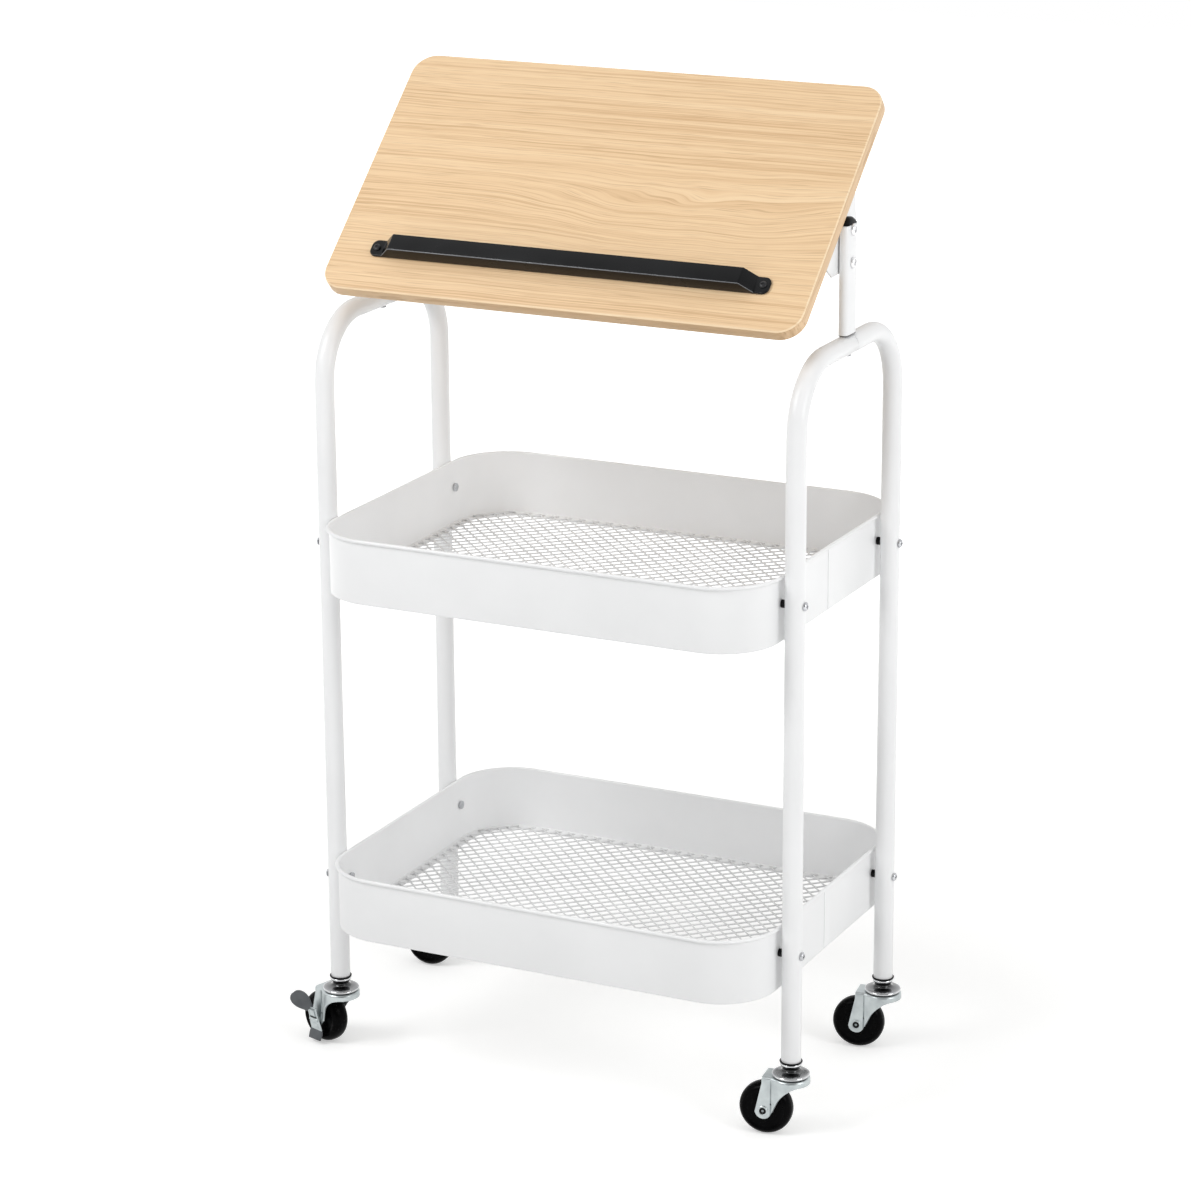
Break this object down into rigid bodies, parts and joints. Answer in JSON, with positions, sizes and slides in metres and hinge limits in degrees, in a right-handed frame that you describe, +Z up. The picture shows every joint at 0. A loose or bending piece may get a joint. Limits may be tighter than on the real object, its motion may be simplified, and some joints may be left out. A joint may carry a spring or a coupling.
{
  "type": "rolling laptop table",
  "caption": "Tall rolling side table: tilting wooden laptop top with a front ledge on a white tube frame, with open metal baskets below and swivel casters.",
  "frame": {"origin": "on the floor, under the middle of the table's outline", "axes": "+X to the table's right, +Y to its back, +Z up; the user stands on the -Y side"},
  "size_m": [0.5836, 0.3776, 1.0122],
  "materials": {
    "white_paint": "satin white powder coat",
    "mesh_paint": "satin white powder coat on expanded metal",
    "oak": "light oak with a satin film",
    "black_plastic": "moulded black",
    "ledge_plastic": "satin black moulding",
    "bright_steel": "zinc plated",
    "chrome": "bright plated",
    "wheel_black": "hard black"
  },
  "bodies": {
    "frame": {"basket_floor_lower": "mesh_paint", "basket_floor_upper": "mesh_paint", "basket_screw_lower_back_left": "bright_steel", "basket_screw_lower_back_right": "bright_steel", "basket_screw_lower_front_left": "bright_steel", "basket_screw_lower_front_right": "bright_steel", "basket_screw_upper_back_left": "bright_steel", "basket_screw_upper_back_right": "bright_steel", "basket_screw_upper_front_left": "bright_steel", "basket_screw_upper_front_right": "bright_steel", "basket_wall_lower": "white_paint", "basket_wall_upper": "white_paint", "caster_collar_back_left": "black_plastic", "caster_collar_back_right": "black_plastic", "caster_collar_front_left": "black_plastic", "caster_collar_front_right": "black_plastic", "caster_stem_back_left": "chrome", "caster_stem_back_right": "chrome", "caster_stem_front_left": "chrome", "caster_stem_front_right": "chrome", "post_bolt_left": "bright_steel", "post_bolt_right": "bright_steel", "post_cap_left": "black_plastic", "post_cap_right": "black_plastic", "post_left": "white_paint", "post_right": "white_paint", "side_frame_back_left": "white_paint", "side_frame_back_right": "white_paint", "side_frame_front_left": "white_paint", "side_frame_front_right": "white_paint", "spacer_lower_back_left": "black_plastic", "spacer_lower_back_right": "black_plastic", "spacer_lower_front_left": "black_plastic", "spacer_lower_front_right": "black_plastic", "spacer_upper_back_left": "black_plastic", "spacer_upper_back_right": "black_plastic", "spacer_upper_front_left": "black_plastic", "spacer_upper_front_right": "black_plastic", "tilt_lock_screw_left": "bright_steel", "tilt_lock_screw_right": "bright_steel", "tilt_pivot_screw_left": "bright_steel", "tilt_pivot_screw_right": "bright_steel"},
    "top": {"tabletop": "oak", "ledge": "ledge_plastic", "ledge_screw_left": "bright_steel", "ledge_screw_right": "bright_steel", "tilt_bracket_left": "white_paint", "tilt_bracket_right": "white_paint"},
    "swivel_front_left": {"caster_fork_front_left": "bright_steel"},
    "wheel_front_left": {"caster_wheel_front_left": "wheel_black"},
    "swivel_front_right": {"caster_fork_front_right": "bright_steel"},
    "wheel_front_right": {"caster_wheel_front_right": "wheel_black"},
    "swivel_back_left": {"caster_fork_back_left": "bright_steel"},
    "wheel_back_left": {"caster_wheel_back_left": "wheel_black"},
    "swivel_back_right": {"caster_fork_back_right": "bright_steel"},
    "wheel_back_right": {"caster_wheel_back_right": "wheel_black"},
    "brake": {"brake_rocker": "bright_steel"}
  },
  "joints": [
    {"name": "top_tilt", "type": "hinge", "parent": "frame", "child": "top", "pos_m": [0.01637, 0, 0.891], "axis": [1, 0, 0], "range_deg": [-42.6, 2.4]},
    {"name": "swivel_front_left", "type": "hinge", "parent": "frame", "child": "swivel_front_left", "pos_m": [-0.23963, -0.1194, 0.065], "axis": [0, 0, 1], "continuous": true},
    {"name": "roll_front_left", "type": "hinge", "parent": "swivel_front_left", "child": "wheel_front_left", "pos_m": [-0.26333, -0.11147, 0.0272], "axis": [-0.3173, -0.9483, 0], "continuous": true},
    {"name": "swivel_front_right", "type": "hinge", "parent": "frame", "child": "swivel_front_right", "pos_m": [0.27237, -0.1194, 0.065], "axis": [0, 0, 1], "continuous": true},
    {"name": "roll_front_right", "type": "hinge", "parent": "swivel_front_right", "child": "wheel_front_right", "pos_m": [0.24756, -0.12245, 0.0272], "axis": [0.1219, -0.9925, 0], "continuous": true},
    {"name": "swivel_back_left", "type": "hinge", "parent": "frame", "child": "swivel_back_left", "pos_m": [-0.23963, 0.1194, 0.065], "axis": [0, 0, 1], "continuous": true},
    {"name": "roll_back_left", "type": "hinge", "parent": "swivel_back_left", "child": "wheel_back_left", "pos_m": [-0.26463, 0.1194, 0.0272], "axis": [0, -1, 0], "continuous": true},
    {"name": "swivel_back_right", "type": "hinge", "parent": "frame", "child": "swivel_back_right", "pos_m": [0.27237, 0.1194, 0.065], "axis": [0, 0, 1], "continuous": true},
    {"name": "roll_back_right", "type": "hinge", "parent": "swivel_back_right", "child": "wheel_back_right", "pos_m": [0.24768, 0.11549, 0.0272], "axis": [0.1564, -0.9877, 0], "continuous": true},
    {"name": "brake_rock", "type": "hinge", "parent": "swivel_front_left", "child": "brake", "pos_m": [-0.26857, -0.12712, 0.0272], "axis": [-0.9483, 0.3173, 0], "range_deg": [0, 18]}
  ]
}
